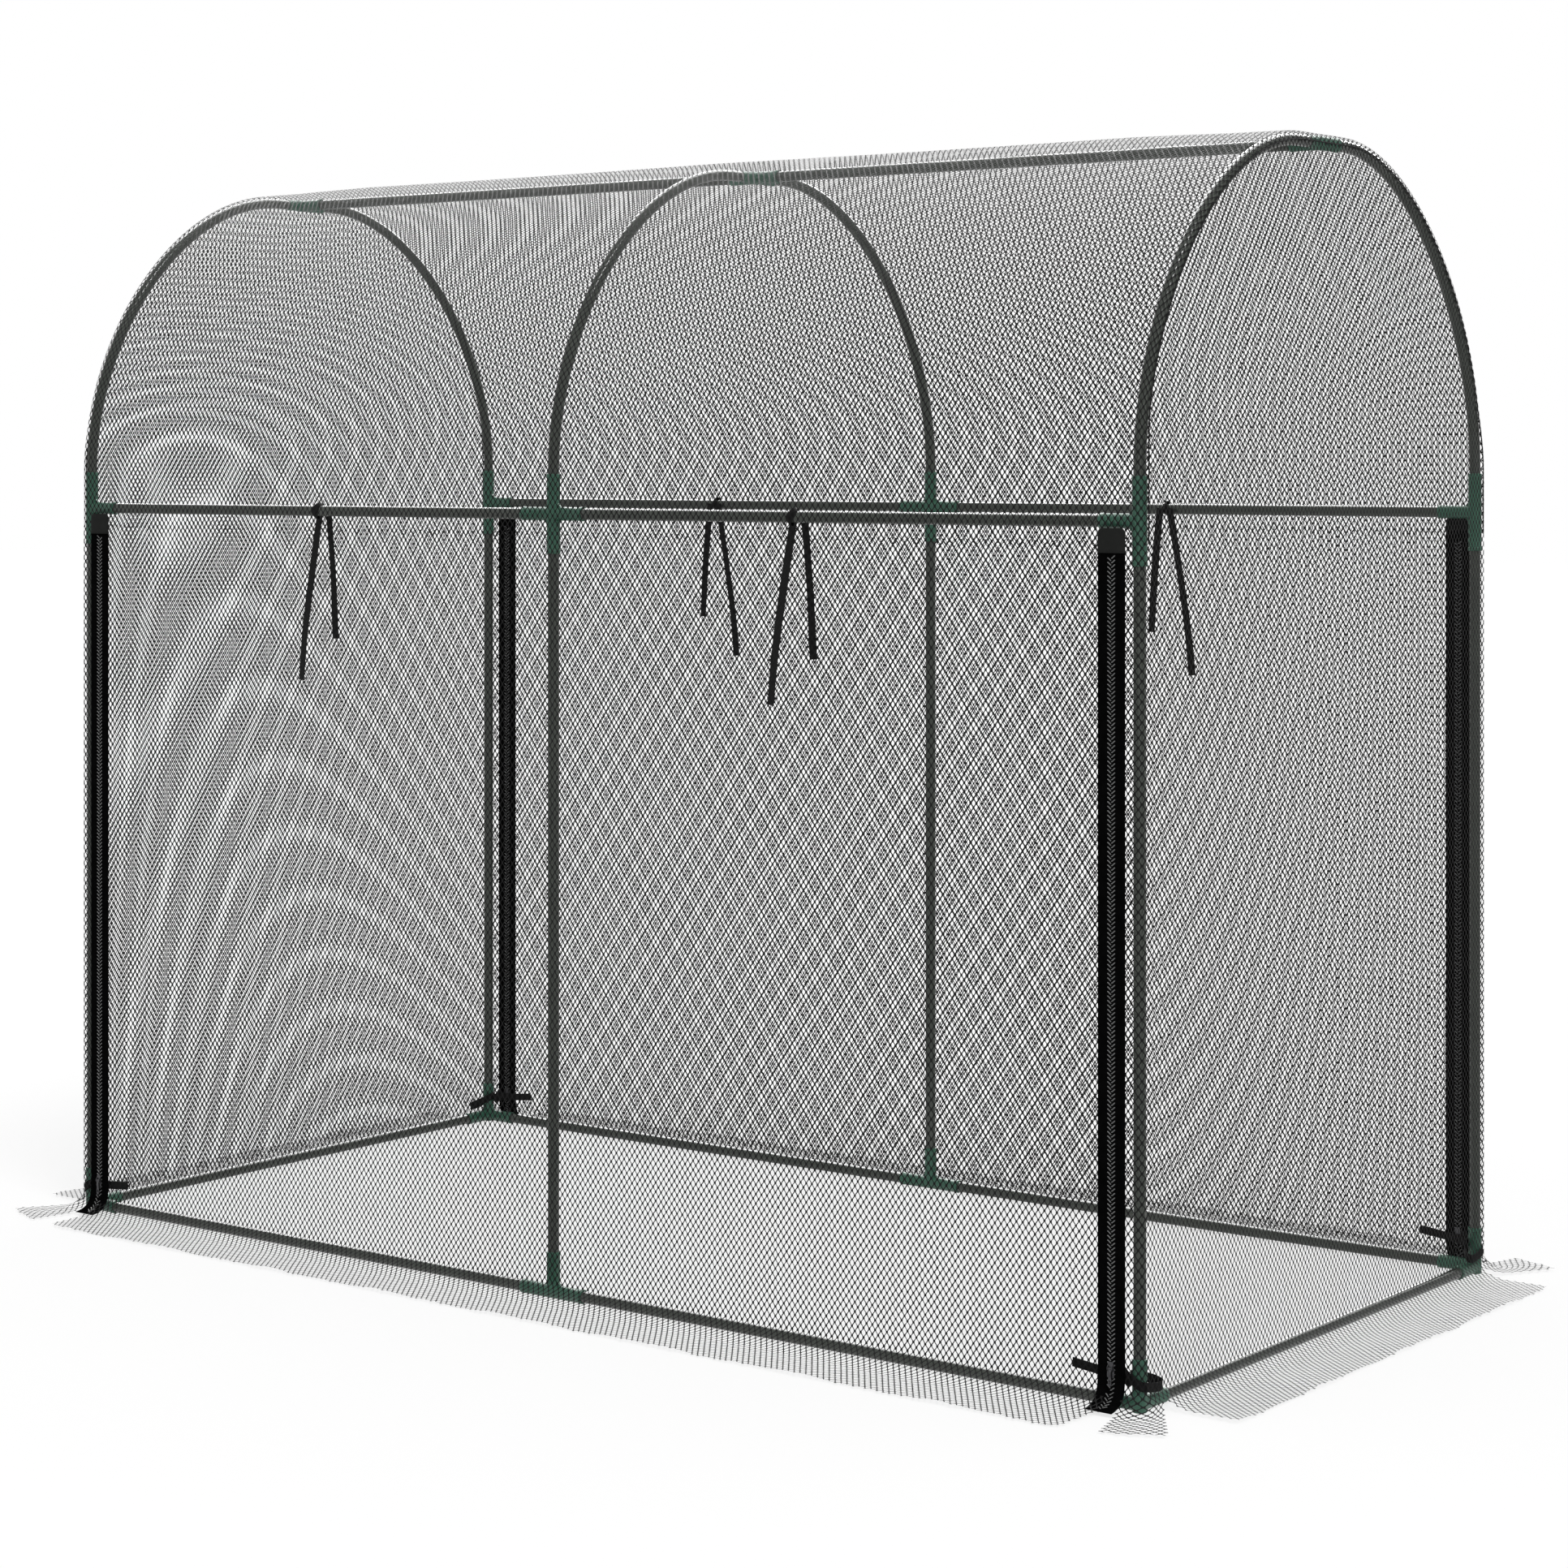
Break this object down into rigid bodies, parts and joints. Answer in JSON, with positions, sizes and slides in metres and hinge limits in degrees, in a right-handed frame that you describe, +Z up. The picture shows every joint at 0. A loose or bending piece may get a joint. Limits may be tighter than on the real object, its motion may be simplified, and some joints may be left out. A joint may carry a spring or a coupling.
{
  "type": "crop cage",
  "caption": "Walk-in garden crop cage: hooped tube frame with plug-in green fittings, a fitted net cover, zipped roll-up net doors along both long sides and a flared ground skirt.",
  "frame": {"origin": "on the ground under the middle of the cage", "axes": "+X along the ridge to the right-hand end, -Y towards the front door side, +Z up"},
  "size_m": [2.716, 1.471, 2.0183],
  "materials": {
    "tube_paint": "dark grey-green semi-gloss paint",
    "fitting_plastic": "green moulded plastic, satin",
    "net_yarn": "black knitted netting with black zip tapes",
    "zip_metal": "dark grey zip sliders",
    "ribbon": "black woven ribbon"
  },
  "bodies": {
    "root": {"post_front_left": "tube_paint", "post_front_middle": "tube_paint", "post_front_right": "tube_paint", "post_back_left": "tube_paint", "post_back_middle": "tube_paint", "post_back_right": "tube_paint", "arch_front_left": "tube_paint", "arch_front_middle": "tube_paint", "arch_front_right": "tube_paint", "arch_back_left": "tube_paint", "arch_back_middle": "tube_paint", "arch_back_right": "tube_paint", "eave_tube_front_left": "tube_paint", "eave_tube_front_right": "tube_paint", "eave_tube_back_left": "tube_paint", "eave_tube_back_right": "tube_paint", "base_tube_front_left": "tube_paint", "base_tube_front_right": "tube_paint", "base_tube_back_left": "tube_paint", "base_tube_back_right": "tube_paint", "ridge_tube_left": "tube_paint", "ridge_tube_right": "tube_paint", "base_tube_left_end": "tube_paint", "base_tube_right_end": "tube_paint", "base_corner_front_left": "fitting_plastic", "base_corner_front_right": "fitting_plastic", "base_corner_back_left": "fitting_plastic", "base_corner_back_right": "fitting_plastic", "eave_tee_front_left": "fitting_plastic", "eave_tee_front_right": "fitting_plastic", "eave_tee_back_left": "fitting_plastic", "eave_tee_back_right": "fitting_plastic", "base_tee_front": "fitting_plastic", "base_tee_back": "fitting_plastic", "crown_tee_left": "fitting_plastic", "crown_tee_right": "fitting_plastic", "eave_cross_front": "fitting_plastic", "eave_cross_back": "fitting_plastic", "crown_cross": "fitting_plastic", "roof_net": "net_yarn", "left_end_net": "net_yarn", "right_end_net": "net_yarn", "front_door_net": "net_yarn", "back_door_net": "net_yarn", "roll_up_tie_front_left": "ribbon", "roll_up_tie_front_right": "ribbon", "roll_up_tie_back_left": "ribbon", "roll_up_tie_back_right": "ribbon", "corner_tie_front_left": "ribbon", "corner_tie_front_right": "ribbon", "corner_tie_back_left": "ribbon", "corner_tie_back_right": "ribbon"},
    "front_door": {"front_door_skirt": "net_yarn"},
    "zip_slider_front_left": {"zip_slider_front_left": "zip_metal"},
    "zip_slider_front_right": {"zip_slider_front_right": "zip_metal"},
    "back_door": {"back_door_skirt": "net_yarn"},
    "zip_slider_back_left": {"zip_slider_back_left": "zip_metal"},
    "zip_slider_back_right": {"zip_slider_back_right": "zip_metal"}
  },
  "joints": [
    {"name": "front_door_lift", "type": "slide", "parent": "root", "child": "front_door", "axis": [0, 0, 1], "range_m": [0, 1.15], "deforming": ["front_door_net"]},
    {"name": "front_left_zip_slide", "type": "slide", "parent": "root", "child": "zip_slider_front_left", "axis": [0, 0, 1], "range_m": [0, 1.15]},
    {"name": "front_right_zip_slide", "type": "slide", "parent": "root", "child": "zip_slider_front_right", "axis": [0, 0, 1], "range_m": [0, 1.15]},
    {"name": "back_door_lift", "type": "slide", "parent": "root", "child": "back_door", "axis": [0, 0, 1], "range_m": [0, 1.15], "deforming": ["back_door_net"]},
    {"name": "back_left_zip_slide", "type": "slide", "parent": "root", "child": "zip_slider_back_left", "axis": [0, 0, 1], "range_m": [0, 1.15]},
    {"name": "back_right_zip_slide", "type": "slide", "parent": "root", "child": "zip_slider_back_right", "axis": [0, 0, 1], "range_m": [0, 1.15]}
  ],
  "couplings": [
    {"joint": "front_left_zip_slide", "follows": "front_door_lift", "ratio": 1},
    {"joint": "front_right_zip_slide", "follows": "front_door_lift", "ratio": 1},
    {"joint": "back_left_zip_slide", "follows": "back_door_lift", "ratio": 1},
    {"joint": "back_right_zip_slide", "follows": "back_door_lift", "ratio": 1}
  ]
}
